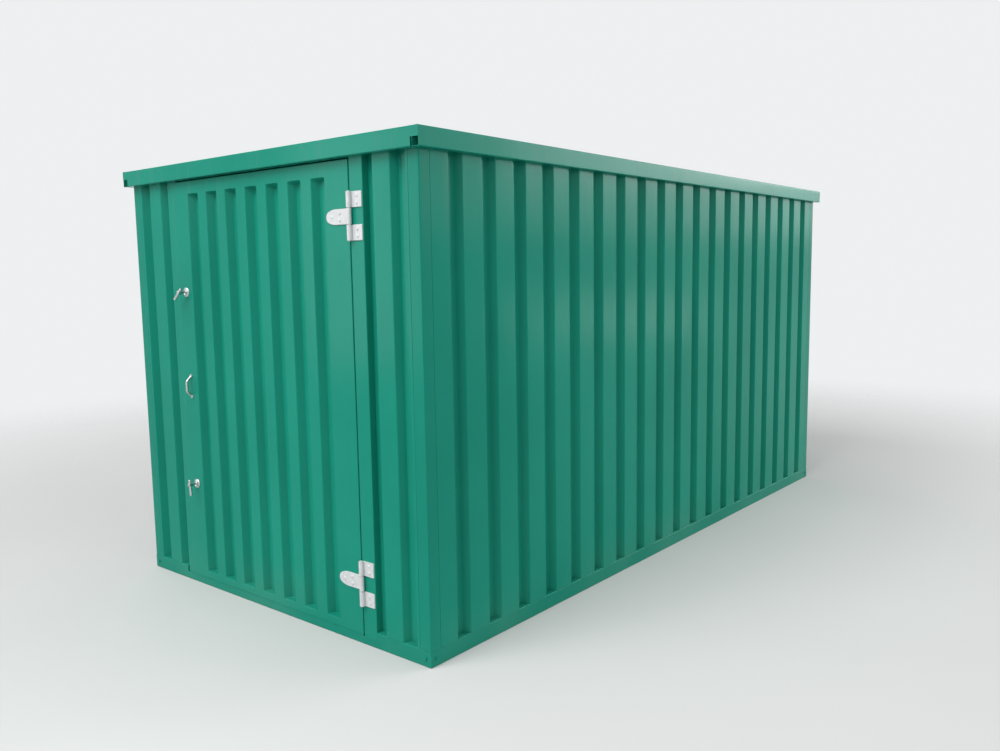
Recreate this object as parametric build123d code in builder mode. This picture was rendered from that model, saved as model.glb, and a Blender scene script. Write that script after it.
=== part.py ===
from build123d import *
from math import hypot
import os

# Flat pack storage container: a bolted box of folded and corrugated steel sheet on a
# folded base frame, with a plywood floor, gutters along both eaves and one pressed door.
# Millimetres, +Z up. The origin is the middle of the footprint on the ground.
# The door is in the front wall, which faces -Y.

# Overall body
body_width = 2100
module = 207
side_modules = 20
body_length = module * side_modules
overall_height = 2143

# Corrugated wall sheet
wall_sheet = 1.5
valley_mouth = 84
valley_floor = 44
valley_depth = 34
side_valleys = side_modules - 1
rear_valleys = 9
modules_per_panel = 5
seam_flange = 24

# Base frame and floor
base_height = 70
base_flange = 60
base_sheet = 2
threshold_height = 36
threshold_stop_gap = 6
floor_thickness = 18
floor_top = 58
floor_clearance = 2
joist_count = 7
joist_flange = 40

# Corner posts and front wall
post_sheet = 2
post_leg = 60
post_lip = 30
front_corner_flat = 75
channel_mouth = 58

# Doorway
doorway_half_width = 652
post_face = 80
stop_flange = 32
header_stop = 23

# Door leaf
leaf_sheet = 1.5
leaf_depth = 36
leaf_bottom_gap = 6
leaf_top_gap = 6
lock_edge_gap = 7
hinge_edge_gap = 6
lock_lip = 27
lock_lip_clearance = 5
flute_count = 7
flute_mouth = 88
flute_floor = 48
flute_depth = 34
flute_margin_lock = 105
flute_margin_hinge = 150
flute_margin_bottom = 38
flute_margin_top = 62
stiffener_depth = 30
stiffener_sheet = 2
stile_width = 60
rail_width = 32
stiffener_gap = 0.5

# Eaves and roof
fascia_height = 78
eave_overhang = 35.5
eave_sheet = 1.5
eave_return = 20
wall_cap = 60
cap_lip = 38
gutter_depth = 40
outlet_width = 43
roof_sheet = 1.2
roof_rib_height = 25
roof_rib_top = 40
roof_rib_base = 80
roof_over_gutter = 14
roof_end_gap = 4
purlin_height = 50
purlin_flange = 45
purlin_sheet = 2
purlin_spacing = 700

# Hinges
lower_hinge_from_bottom = 234
upper_hinge_from_top = 231
hinge_from_doorway = 8
hinge_stand_off = 12.5
knuckle_radius = 11
knuckle_length = 64
knuckle_gap = 3
pin_radius = 6
pin_clearance = 0.05
plate_thickness = 5
plate_edge_margin = 4
strap_length = 151
strap_taper = 56
strap_tip = 36
strap_tip_radius = 14
strap_rise = 1.5

# Locks, their T handles and the pull handle
lock_from_edge = 49
lower_lock_from_bottom = 492
upper_lock_from_top = 544
lock_bar_angles = {"lower": 95, "upper": 40}
rose_radius = 24
rose_thickness = 9
rose_chamfer = 4
barrel_radius = 7.5
barrel_clearance = 0.5
case_width = 40
case_height = 110
case_thickness = 24
case_offset = 11
spindle_radius = 6
spindle_clearance = 0.05
spindle_depth = 14
spindle_end_gap = 1
handle_reach = 42
handle_bar_radius = 7
handle_bar_length = 84
handle_bar_offset = 16
handle_hub_radius = 10
handle_hub_length = 16
pull_from_edge = 48
pull_height = 1039
pull_span = 103
pull_reach = 27
pull_run_in = 25
pull_bar_radius = 6
pull_bend = 16
pull_foot_radius = 9.5
pull_foot_thickness = 5

# Values worked out from the sizes above
half_width = body_width / 2
half_length = body_length / 2
fascia_bottom = overall_height - fascia_height
wall_top = fascia_bottom + gutter_depth
wall_height = wall_top - base_height
roof_level = wall_top + eave_sheet
header_bottom = fascia_bottom
leaf_top = header_bottom - leaf_top_gap
leaf_bottom = threshold_height + leaf_bottom_gap
leaf_lock_edge = -doorway_half_width + lock_edge_gap
leaf_hinge_edge = doorway_half_width - hinge_edge_gap
leaf_width = leaf_hinge_edge - leaf_lock_edge
leaf_height = leaf_top - leaf_bottom
leaf_middle = (leaf_lock_edge + leaf_hinge_edge) / 2
leaf_centre = (leaf_bottom + leaf_top) / 2
post_outer = doorway_half_width + post_face
stop_depth = leaf_depth + threshold_stop_gap
lock_post_recess = leaf_sheet + lock_lip_clearance


def wall_frame(side, height=0):
    """Plane at the middle of a wall's outer face: x along the wall, y into the building."""
    places = {
        "front": ((0, -half_length, height), (1, 0, 0)),
        "right": ((half_width, 0, height), (0, 1, 0)),
        "rear": ((0, half_length, height), (-1, 0, 0)),
        "left": ((-half_width, 0, height), (0, -1, 0)),
    }
    origin, along = places[side]
    return Plane(origin=origin, x_dir=along, z_dir=(0, 0, 1))


def section_frame(side):
    """Upright plane across a wall at its middle: x into the building, y up."""
    frame = wall_frame(side)
    return Plane(origin=frame.origin, x_dir=frame.y_dir, z_dir=frame.x_dir)


def folded_sheet(points, thickness):
    """Profile of a sheet folded along the points, its thickness to the left of them."""
    with BuildSketch(mode=Mode.PRIVATE) as profile:
        with BuildLine():
            Polyline(*points)
            offset(amount=thickness, side=Side.LEFT, kind=Kind.INTERSECTION)
        make_face()
    return profile.sketch


def finish(piece, name):
    """Labels one piece and writes it to its own file."""
    piece.part.label = name
    export_step(piece.part, f"parts/{name}.step")


os.makedirs("parts", exist_ok=True)


# Base frame: four mitred channels that open inwards

base_profile = [
    (base_flange, base_height),
    (0, base_height),
    (0, 0),
    (base_flange, 0),
]
threshold_profile = [
    (base_flange, base_height),
    (stop_depth, base_height),
    (stop_depth, threshold_height),
    (0, threshold_height),
    (0, 0),
    (base_flange, 0),
]


def mitre_planes(side, half_run):
    """The two upright 45 degree planes that end a base channel at its corners."""
    frame = wall_frame(side)
    for end in (-1, 1):
        corner = frame.from_local_coords(Vector(end * half_run, 0, 0))
        outward = frame.x_dir * end + frame.y_dir
        yield Plane(origin=corner, z_dir=outward)


for side, half_run in (
    ("front", half_width),
    ("rear", half_width),
    ("left", half_length),
    ("right", half_length),
):
    with BuildPart() as base_rail:
        with BuildSketch(section_frame(side)):
            add(folded_sheet(base_profile, base_sheet))
        extrude(amount=half_run, both=True)
        if side == "front":
            # The threshold is folded lower between the door posts, with a stop behind the leaf
            with BuildSketch(section_frame(side)):
                with Locations((0, threshold_height)):
                    Rectangle(
                        base_flange,
                        base_height - threshold_height,
                        align=(Align.MIN, Align.MIN),
                    )
            extrude(amount=post_outer, both=True, mode=Mode.SUBTRACT)
            with BuildSketch(section_frame(side)):
                add(folded_sheet(threshold_profile, base_sheet))
            extrude(amount=post_outer, both=True)
            for end in (-1, 1):
                with BuildSketch(section_frame(side).offset(end * post_outer)):
                    Rectangle(
                        stop_depth + base_sheet,
                        base_height,
                        align=(Align.MIN, Align.MIN),
                    )
                extrude(amount=end * base_sheet)
        for cut in mitre_planes(side, half_run):
            split(bisect_by=cut, keep=Keep.BOTTOM)
    finish(base_rail, f"base_{side}_rail")


# Floor: plywood on a row of channel joists that stand on the base flanges

joist_top = floor_top - floor_thickness
joist_run = half_length - base_flange - joist_flange / 2 - floor_clearance
joist_profile = [
    (joist_flange, joist_top),
    (0, joist_top),
    (0, base_sheet),
    (joist_flange, base_sheet),
]
with BuildPart() as floor_joists:
    for number in range(joist_count):
        joist_y = joist_run * (2 * number / (joist_count - 1) - 1)
        with BuildSketch(Plane.YZ):
            with Locations((joist_y - joist_flange / 2, 0)):
                add(folded_sheet(joist_profile, base_sheet))
        extrude(amount=half_width - base_sheet, both=True)
finish(floor_joists, "floor_joists")

floor_front = -half_length + stop_depth + base_sheet + floor_clearance
floor_rear = half_length - base_sheet - floor_clearance
with BuildPart() as floor_panel:
    with BuildSketch(Plane.XY.offset(joist_top)):
        with Locations((0, (floor_front + floor_rear) / 2)):
            Rectangle(
                body_width - 2 * (base_sheet + floor_clearance),
                floor_rear - floor_front,
            )
    extrude(amount=floor_thickness)
finish(floor_panel, "floor_panel")


# Corner posts: folded angles with a stiffening lip on each leg

corner_profile = [
    (post_lip, post_leg),
    (0, post_leg),
    (0, 0),
    (post_leg, 0),
    (post_leg, post_lip),
]
corners = {
    "front_right": ((half_width, -half_length), (0, 1, 0)),
    "rear_right": ((half_width, half_length), (-1, 0, 0)),
    "rear_left": ((-half_width, half_length), (0, -1, 0)),
    "front_left": ((-half_width, -half_length), (1, 0, 0)),
}
for corner, (place, along) in corners.items():
    corner_frame = Plane(origin=(*place, base_height), x_dir=along, z_dir=(0, 0, 1))
    with BuildPart() as corner_post:
        with BuildSketch(corner_frame):
            add(folded_sheet(corner_profile, post_sheet))
        extrude(amount=wall_height)
    finish(corner_post, f"corner_post_{corner}")


# Corrugated wall panels, bolted flange to flange at the corner posts and in valley floors


def valley_points(centre):
    """The four bends of one valley, seen from above."""
    return [
        (centre - valley_mouth / 2, 0),
        (centre - valley_floor / 2, valley_depth),
        (centre + valley_floor / 2, valley_depth),
        (centre + valley_mouth / 2, 0),
    ]


def panel_points(half_run, valleys, first_seam, last_seam):
    """Bends of a wall panel between two seams, given as valley numbers or None at a post."""
    lowest = -(valleys - 1) // 2
    highest = -lowest
    inner = [n for n in range(lowest, highest + 1)]
    if first_seam is None:
        start = -half_run + post_leg
        points = [(start, post_lip), (start, 0)]
    else:
        start = first_seam * module
        inner = [n for n in inner if n > first_seam]
        points = [(start, valley_depth + seam_flange)] + valley_end(start, 1)
    if last_seam is None:
        end = half_run - post_leg
        closing = [(end, 0), (end, post_lip)]
    else:
        end = last_seam * module
        inner = [n for n in inner if n < last_seam]
        closing = valley_end(end, -1)[::-1] + [(end, valley_depth + seam_flange)]
    for number in inner:
        points += valley_points(number * module)
    return points + closing


def valley_end(centre, direction):
    """Half a valley, from its middle out to the wall's face."""
    return [
        (centre, valley_depth),
        (centre + direction * valley_floor / 2, valley_depth),
        (centre + direction * valley_mouth / 2, 0),
    ]


def wall_panels(side, half_run, valleys, seams):
    """All panels of one wall, numbered from the front or from the left."""
    ends = [None] + seams + [None]
    for number, (first, last) in enumerate(zip(ends, ends[1:]), start=1):
        with BuildPart() as panel:
            with BuildSketch(wall_frame(side, base_height)):
                add(folded_sheet(panel_points(half_run, valleys, first, last), wall_sheet))
            extrude(amount=wall_height)
        finish(panel, f"{side}_wall_panel_{number}")


side_seams = [-modules_per_panel, 0, modules_per_panel]
wall_panels("right", half_length, side_valleys, side_seams)
wall_panels("left", half_length, side_valleys, side_seams)
wall_panels("rear", half_width, rear_valleys, [0])


# Front wall panels: one valley and one ridge between the corner post and the door's channel

front_valley = half_width - front_corner_flat - valley_mouth / 2
flank_run = (valley_mouth - valley_floor) / 2
channel_edge = post_outer + channel_mouth
front_points = [
    (post_outer - post_sheet, valley_depth),
    (channel_edge - flank_run, valley_depth),
    (channel_edge, 0),
    *valley_points(front_valley),
    (half_width - post_leg, 0),
    (half_width - post_leg, post_lip),
]
mirrored_points = [(-x, y) for x, y in reversed(front_points)]
for side, points in (("right", front_points), ("left", mirrored_points)):
    with BuildPart() as front_panel:
        with BuildSketch(wall_frame("front", base_height)):
            add(folded_sheet(points, wall_sheet))
        extrude(amount=wall_height)
    finish(front_panel, f"front_wall_panel_{side}")


# Door posts: folded jambs with a stop behind the leaf
# The post on the lock side stands back, so that the leaf's lip closes over it

hinge_post_points = [
    (doorway_half_width - stop_flange, stop_depth),
    (doorway_half_width, stop_depth),
    (doorway_half_width, 0),
    (post_outer, 0),
    (post_outer, valley_depth),
]
lock_post_points = [
    (-post_outer, valley_depth),
    (-post_outer, lock_post_recess),
    (-doorway_half_width, lock_post_recess),
    (-doorway_half_width, stop_depth),
    (-doorway_half_width + stop_flange, stop_depth),
]
for name, points in (("door_post_hinge", hinge_post_points), ("door_post_lock", lock_post_points)):
    with BuildPart() as door_post:
        with BuildSketch(wall_frame("front", threshold_height)):
            add(folded_sheet(points, post_sheet))
        extrude(amount=wall_top - threshold_height)
        # The stop ends where the folded threshold's own stop begins
        with BuildSketch(wall_frame("front", threshold_height)):
            with Locations((0, stop_depth)):
                Rectangle(2 * post_outer, base_flange, align=(Align.CENTER, Align.MIN))
        extrude(amount=base_height - threshold_height, mode=Mode.SUBTRACT)
    finish(door_post, name)

header_profile = [
    (0, wall_top),
    (0, header_bottom),
    (stop_depth, header_bottom),
    (stop_depth, header_bottom - header_stop),
]
with BuildPart() as door_header:
    with BuildSketch(section_frame("front")):
        add(folded_sheet(header_profile, post_sheet))
    extrude(amount=doorway_half_width, both=True)
    # Between the stops of the two posts the header's stop is as wide as the gap
    for end in (-1, 1):
        with BuildSketch(section_frame("front").offset(end * doorway_half_width)):
            with Locations((stop_depth, 0)):
                Rectangle(base_flange, overall_height, align=(Align.MIN, Align.MIN))
        extrude(amount=-end * stop_flange, mode=Mode.SUBTRACT)
finish(door_header, "door_header")


# Eaves: one folded section makes the fascia, the gutter and the cap over the wall's top

eave_profile = [
    (eave_return - eave_overhang, overall_height),
    (-eave_overhang, overall_height),
    (-eave_overhang, fascia_bottom),
    (0, fascia_bottom),
    (0, wall_top),
    (wall_cap, wall_top),
    (wall_cap, wall_top - cap_lip),
]
outer_half_width = half_width + eave_overhang
outer_half_length = half_length + eave_overhang
web_inner = -eave_overhang + eave_sheet


def trim_ends(side, start, finish_at, low, high, inner_from):
    """Cuts an eave away between two distances from the wall's middle, at both ends."""
    for end in (-1, 1):
        with BuildSketch(section_frame(side).offset(end * start), mode=Mode.PRIVATE) as cut_off:
            with Locations((inner_from, low)):
                Rectangle(
                    wall_cap + eave_overhang + eave_sheet,
                    high - low,
                    align=(Align.MIN, Align.MIN),
                )
        extrude(cut_off.sketch, amount=end * (finish_at - start), mode=Mode.SUBTRACT)


for side in ("left", "right"):
    with BuildPart() as gutter:
        with BuildSketch(section_frame(side)):
            add(folded_sheet(eave_profile, eave_sheet))
        extrude(amount=outer_half_length - eave_sheet, both=True)
        trim_ends(side, half_length - wall_cap, outer_half_length, 0, wall_top, wall_cap)
    finish(gutter, f"eave_gutter_{side}")

outlet_start = outer_half_width - outlet_width
for side in ("front", "rear"):
    with BuildPart() as fascia:
        with BuildSketch(section_frame(side)):
            add(folded_sheet(eave_profile, eave_sheet))
        extrude(amount=outer_half_width, both=True)
        # The cap stops at the side eaves, and the gutters open through the lower corners
        cap_end = half_width - wall_cap - eave_sheet
        trim_ends(side, cap_end, outer_half_width, wall_top, roof_level, web_inner)
        trim_ends(side, cap_end, outer_half_width, 0, overall_height, 0)
        trim_ends(side, outlet_start, outer_half_width, 0, roof_level, -eave_overhang)
        trim_ends(
            side,
            outer_half_width - eave_return,
            outer_half_width,
            0,
            overall_height,
            web_inner,
        )
    finish(fascia, f"roof_fascia_{side}")


# Roof: ribbed sheets across the width, lapped on their ribs, over two long purlins


def rib_points(centre):
    """The four bends of one roof rib."""
    return [
        (centre - roof_rib_base / 2, roof_level),
        (centre - roof_rib_top / 2, roof_level + roof_rib_height),
        (centre + roof_rib_top / 2, roof_level + roof_rib_height),
        (centre + roof_rib_base / 2, roof_level),
    ]


roof_end = outer_half_length - eave_sheet - roof_end_gap
roof_half_run = half_width + roof_over_gutter
ribs = range(-(side_valleys // 2), side_valleys // 2 + 1)
roof_ends = [None] + side_seams + [None]
for number, (first, last) in enumerate(zip(roof_ends, roof_ends[1:]), start=1):
    points = []
    for rib in ribs:
        bends = rib_points(rib * module)
        middle = (rib * module, roof_level + roof_rib_height)
        if rib == first:
            points += [middle] + bends[2:]
        elif rib == last:
            points += bends[:2] + [middle]
        elif (first is None or rib > first) and (last is None or rib < last):
            points += bends
    if first is None:
        points = [(-roof_end, roof_level)] + points
    if last is None:
        points = points + [(roof_end, roof_level)]
    with BuildPart() as roof_panel:
        with BuildSketch(Plane.YZ):
            add(folded_sheet(points, roof_sheet))
        extrude(amount=roof_half_run, both=True)
    finish(roof_panel, f"roof_panel_{number}")

purlin_profile = [
    (purlin_flange, roof_level),
    (0, roof_level),
    (0, roof_level - purlin_height),
    (purlin_flange, roof_level - purlin_height),
]
with BuildPart() as roof_purlins:
    for place in (-1, 1):
        with BuildSketch(Plane.XZ):
            with Locations((place * purlin_spacing / 2 - purlin_flange / 2, 0)):
                add(folded_sheet(purlin_profile, purlin_sheet))
        extrude(amount=half_length - wall_cap - eave_sheet, both=True)
finish(roof_purlins, "roof_purlins")


# Door leaf: one pressed sheet with blind flutes, turned back all round, with a lock lip

flute_bottom = leaf_bottom + flute_margin_bottom
flute_top = leaf_top - flute_margin_top
first_flute = leaf_lock_edge + flute_margin_lock + flute_mouth / 2
last_flute = leaf_hinge_edge - flute_margin_hinge - flute_mouth / 2
flute_pitch = (last_flute - first_flute) / (flute_count - 1)
flute_places = [first_flute + flute_pitch * number for number in range(flute_count)]
flute_flank = (flute_mouth - flute_floor) / 2
flank_slant = hypot(flute_flank, flute_depth)
pressed_depth = flute_depth + leaf_sheet
pressed_mouth = flute_mouth / 2 + leaf_sheet * flank_slant / flute_depth
pressed_floor = pressed_mouth - pressed_depth * flute_flank / flute_depth


def flute_section(mouth_half, floor_half, depth):
    """Trapezoid of one flute, seen from above."""
    with BuildSketch(mode=Mode.PRIVATE) as section:
        with BuildLine():
            Polyline(
                (-mouth_half, 0),
                (-floor_half, depth),
                (floor_half, depth),
                (mouth_half, 0),
                close=True,
            )
        make_face()
    return section.sketch


lock_x = leaf_lock_edge + lock_from_edge
lock_heights = {
    "lower": leaf_bottom + lower_lock_from_bottom,
    "upper": leaf_top - upper_lock_from_top,
}
with BuildPart() as door_skin:
    # Flat face, wider than the tray by the lip on the lock side
    with BuildSketch(section_frame("front").offset(leaf_lock_edge - lock_lip)):
        with Locations((0, leaf_bottom)):
            Rectangle(leaf_sheet, leaf_height, align=(Align.MIN, Align.MIN))
    extrude(amount=leaf_width + lock_lip)
    # Edges turned back all round
    with BuildSketch(Plane.XZ.offset(half_length - leaf_sheet)):
        with Locations((leaf_middle, leaf_centre)):
            Rectangle(leaf_width, leaf_height)
            Rectangle(
                leaf_width - 2 * leaf_sheet,
                leaf_height - 2 * leaf_sheet,
                mode=Mode.SUBTRACT,
            )
    extrude(amount=-(leaf_depth - leaf_sheet))
    # Flutes: the back of each pressing first, then its hollow
    with BuildSketch(wall_frame("front", flute_bottom - leaf_sheet)):
        with Locations(*[(place, 0) for place in flute_places]):
            add(flute_section(pressed_mouth, pressed_floor, pressed_depth))
    extrude(amount=flute_top - flute_bottom + 2 * leaf_sheet)
    with BuildSketch(wall_frame("front", flute_bottom)):
        with Locations(*[(place, 0) for place in flute_places]):
            add(flute_section(flute_mouth / 2, flute_floor / 2, flute_depth))
    extrude(amount=flute_top - flute_bottom, mode=Mode.SUBTRACT)
    # Holes for the lock barrels
    with BuildSketch(Plane.XZ.offset(half_length)):
        with Locations(*[(lock_x, height) for height in lock_heights.values()]):
            Circle(barrel_radius + barrel_clearance)
    extrude(amount=-leaf_sheet, mode=Mode.SUBTRACT)
finish(door_skin, "door_skin")


# Door stiffeners: four channels behind the flat rim, open to the inside

stile_height = leaf_height - 2 * leaf_sheet
rail_run = leaf_width - 2 * (leaf_sheet + stile_width + stiffener_gap)
stile_inset = leaf_sheet + stile_width / 2
rail_inset = leaf_sheet + rail_width / 2
stiffener_places = [
    (leaf_lock_edge + stile_inset, leaf_centre, stile_width, stile_height),
    (leaf_hinge_edge - stile_inset, leaf_centre, stile_width, stile_height),
    (leaf_middle, leaf_bottom + rail_inset, rail_run, rail_width),
    (leaf_middle, leaf_top - rail_inset, rail_run, rail_width),
]
with BuildPart() as door_frame:
    with BuildSketch(Plane.XZ.offset(half_length - leaf_sheet)):
        for x, z, width, height in stiffener_places:
            with Locations((x, z)):
                Rectangle(width, height)
    extrude(amount=-stiffener_depth)
    with BuildSketch(Plane.XZ.offset(half_length - leaf_sheet - stiffener_sheet)):
        for x, z, width, height in stiffener_places:
            with Locations((x, z)):
                Rectangle(width - 2 * stiffener_sheet, height - 2 * stiffener_sheet)
    extrude(amount=-stiffener_depth, mode=Mode.SUBTRACT)
    with BuildSketch(Plane.XZ.offset(half_length - leaf_sheet)):
        with Locations(*[(lock_x, height) for height in lock_heights.values()]):
            Circle(barrel_radius + barrel_clearance)
    extrude(amount=-stiffener_sheet, mode=Mode.SUBTRACT)
finish(door_frame, "door_frame")


# Hinges: two plates and a fixed pin on the post, and a tapered strap on the leaf

hinge_heights = {
    "lower": leaf_bottom + lower_hinge_from_bottom,
    "upper": leaf_top - upper_hinge_from_top,
}
hinge_x = doorway_half_width + hinge_from_doorway
hinge_y = -half_length - hinge_stand_off
knuckle_step = knuckle_length + knuckle_gap
plate_end = post_outer - plate_edge_margin
front_face = Plane.XZ.offset(half_length)

for level, height in hinge_heights.items():
    with BuildPart() as post_leaf:
        for step in (-1, 1):
            middle = height + step * knuckle_step
            with BuildSketch(front_face):
                with Locations(((hinge_x + plate_end) / 2, middle)):
                    Rectangle(plate_end - hinge_x, knuckle_length)
            extrude(amount=plate_thickness)
            with BuildSketch(Plane.XY.offset(middle - knuckle_length / 2)):
                with Locations((hinge_x, hinge_y)):
                    Circle(knuckle_radius)
            extrude(amount=knuckle_length)
        with BuildSketch(Plane.XY.offset(height - knuckle_step)):
            with Locations((hinge_x, hinge_y)):
                Circle(pin_radius)
        extrude(amount=2 * knuckle_step)
    finish(post_leaf, f"{level}_hinge_post_leaf")

    strap_start = hinge_x - strap_length
    with BuildPart() as strap:
        with BuildSketch(front_face):
            with BuildLine():
                Polyline(
                    (strap_start, height - strap_tip / 2),
                    (strap_start + strap_taper, height - knuckle_length / 2),
                    (leaf_hinge_edge, height - knuckle_length / 2),
                    (leaf_hinge_edge, height + knuckle_length / 2),
                    (strap_start + strap_taper, height + knuckle_length / 2),
                    (strap_start, height + strap_tip / 2),
                    close=True,
                )
            tip = make_face()
            fillet(tip.vertices().group_by(Axis.X)[0], radius=strap_tip_radius)
        extrude(amount=plate_thickness)
        # The strap rises clear of the post before it wraps into the middle knuckle
        with BuildSketch(front_face.offset(strap_rise)):
            with Locations(((leaf_hinge_edge + hinge_x) / 2, height)):
                Rectangle(hinge_x - leaf_hinge_edge + 2 * plate_thickness, knuckle_length)
        extrude(amount=plate_thickness)
        with BuildSketch(Plane.XY.offset(height - knuckle_length / 2)):
            with Locations((hinge_x, hinge_y)):
                Circle(knuckle_radius)
        extrude(amount=knuckle_length)
        with BuildSketch(Plane.XY.offset(height - knuckle_length / 2)):
            with Locations((hinge_x, hinge_y)):
                Circle(pin_radius + pin_clearance)
        extrude(amount=knuckle_length, mode=Mode.SUBTRACT)
    finish(strap, f"{level}_hinge_strap")


# Locks: a round rose outside, a barrel through the leaf and a case inside the stile
# Each has a T handle that turns in it

rose_back = leaf_sheet + stiffener_sheet
for level, height in lock_heights.items():
    with BuildPart() as lock:
        with BuildSketch(front_face):
            with Locations((lock_x, height)):
                Circle(rose_radius)
        extrude(amount=rose_thickness)
        chamfer(lock.edges().group_by(Axis.Y)[0], length=rose_chamfer)
        with BuildSketch(front_face):
            with Locations((lock_x, height)):
                Circle(barrel_radius)
        extrude(amount=-rose_back)
        with BuildSketch(front_face.offset(-rose_back)):
            with Locations((lock_x - case_offset, height)):
                Rectangle(case_width, case_height)
        extrude(amount=-case_thickness)
        with BuildSketch(front_face.offset(rose_thickness)):
            with Locations((lock_x, height)):
                Circle(spindle_radius + spindle_clearance)
        extrude(amount=-(rose_thickness + spindle_depth + spindle_end_gap), mode=Mode.SUBTRACT)
    finish(lock, f"{level}_lock")

    bar_frame = Plane(
        origin=(lock_x, -half_length - handle_reach, height),
        x_dir=Vector(1, 0, 0).rotate(Axis((0, 0, 0), (0, -1, 0)), lock_bar_angles[level]),
        z_dir=(0, -1, 0),
    )
    across_bar = Plane(origin=bar_frame.origin, z_dir=bar_frame.x_dir)
    with BuildPart() as handle:
        with BuildSketch(front_face.offset(-spindle_depth)):
            with Locations((lock_x, height)):
                Circle(spindle_radius)
        extrude(amount=spindle_depth + handle_reach)
        with BuildSketch(front_face.offset(handle_reach - handle_hub_length / 2)):
            with Locations((lock_x, height)):
                Circle(handle_hub_radius)
        extrude(amount=handle_hub_length)
        with BuildSketch(across_bar.offset(-handle_bar_length / 2 - handle_bar_offset)):
            Circle(handle_bar_radius)
        extrude(amount=handle_bar_length)
    finish(handle, f"{level}_lock_handle")


# Pull handle: one bent round bar on two feet

pull_x = leaf_lock_edge + pull_from_edge
pull_half = pull_span / 2
with BuildPart() as pull_handle:
    with BuildLine() as pull_path:
        FilletPolyline(
            (pull_x, -half_length, pull_height - pull_half),
            (pull_x, -half_length - pull_reach, pull_height - pull_half + pull_run_in),
            (pull_x, -half_length - pull_reach, pull_height + pull_half - pull_run_in),
            (pull_x, -half_length, pull_height + pull_half),
            radius=pull_bend,
        )
    with BuildSketch(Plane(pull_path.line @ 0, z_dir=pull_path.line % 0)):
        Circle(pull_bar_radius)
    sweep()
    with BuildSketch(front_face):
        with Locations(
            (pull_x, pull_height - pull_half),
            (pull_x, pull_height + pull_half),
        ):
            Circle(pull_foot_radius)
    extrude(amount=pull_foot_thickness)
    # The bar's ends are cut flush with the leaf
    split(bisect_by=front_face, keep=Keep.TOP)
finish(pull_handle, "pull_handle")
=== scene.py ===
from math import cos, pi, radians, sin

import bpy
import numpy as np
from mathutils import Matrix, Vector


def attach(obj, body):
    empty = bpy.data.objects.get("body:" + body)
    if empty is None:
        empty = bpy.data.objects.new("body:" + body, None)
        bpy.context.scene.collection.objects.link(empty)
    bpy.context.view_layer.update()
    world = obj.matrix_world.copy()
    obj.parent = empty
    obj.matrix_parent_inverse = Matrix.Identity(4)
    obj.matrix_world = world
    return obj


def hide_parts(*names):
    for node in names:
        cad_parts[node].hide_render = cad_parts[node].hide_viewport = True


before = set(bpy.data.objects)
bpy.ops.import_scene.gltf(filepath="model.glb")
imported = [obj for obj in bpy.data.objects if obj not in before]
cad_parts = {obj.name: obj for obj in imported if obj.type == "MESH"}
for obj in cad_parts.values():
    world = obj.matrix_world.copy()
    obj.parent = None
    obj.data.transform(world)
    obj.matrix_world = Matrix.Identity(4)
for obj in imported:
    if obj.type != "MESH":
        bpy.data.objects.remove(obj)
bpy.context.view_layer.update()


# Camera. It stands on the ground in front of the right-hand corner, at a standing person's eye
# height, and looks slightly down at the corner where the door wall meets the long wall.

eye = Vector((3.436, -4.510, 1.594))
yaw, pitch, roll = radians(-39.39), radians(-6.735), radians(-0.88)
ahead = Vector((sin(yaw) * cos(pitch), cos(yaw) * cos(pitch), sin(pitch)))
level_right = ahead.cross(Vector((0, 0, 1))).normalized()
level_up = level_right.cross(ahead)
camera_right = cos(roll) * level_right + sin(roll) * level_up
camera_up = -sin(roll) * level_right + cos(roll) * level_up
lens = bpy.data.cameras.new("photo_view")
lens.sensor_width = 36
lens.lens = 31.69
camera = bpy.data.objects.new("photo_view", lens)
bpy.context.scene.collection.objects.link(camera)
turned = Matrix((camera_right, camera_up, -ahead)).transposed().to_4x4()
camera.matrix_world = Matrix.Translation(eye) @ turned
bpy.context.scene.camera = camera
bpy.context.scene.view_settings.view_transform = "Standard"


# Base frame. Four channels folded from 2 mm galvanised steel and powder coated green, mitred and
# bolted at the corners, open towards the inside. The front one is folded lower under the door.

MM = 0.001
half_width = 1050
half_length = 2070
base_height = 70
base_flange = 60
base_sheet = 2
threshold_height = 36
stop_depth = 42
post_outer = 732
walls = {
    "front": ((0, -half_length), (1, 0), half_width),
    "right": ((half_width, 0), (0, 1), half_length),
    "rear": ((0, half_length), (-1, 0), half_width),
    "left": ((-half_width, 0), (0, -1), half_length),
}


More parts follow.
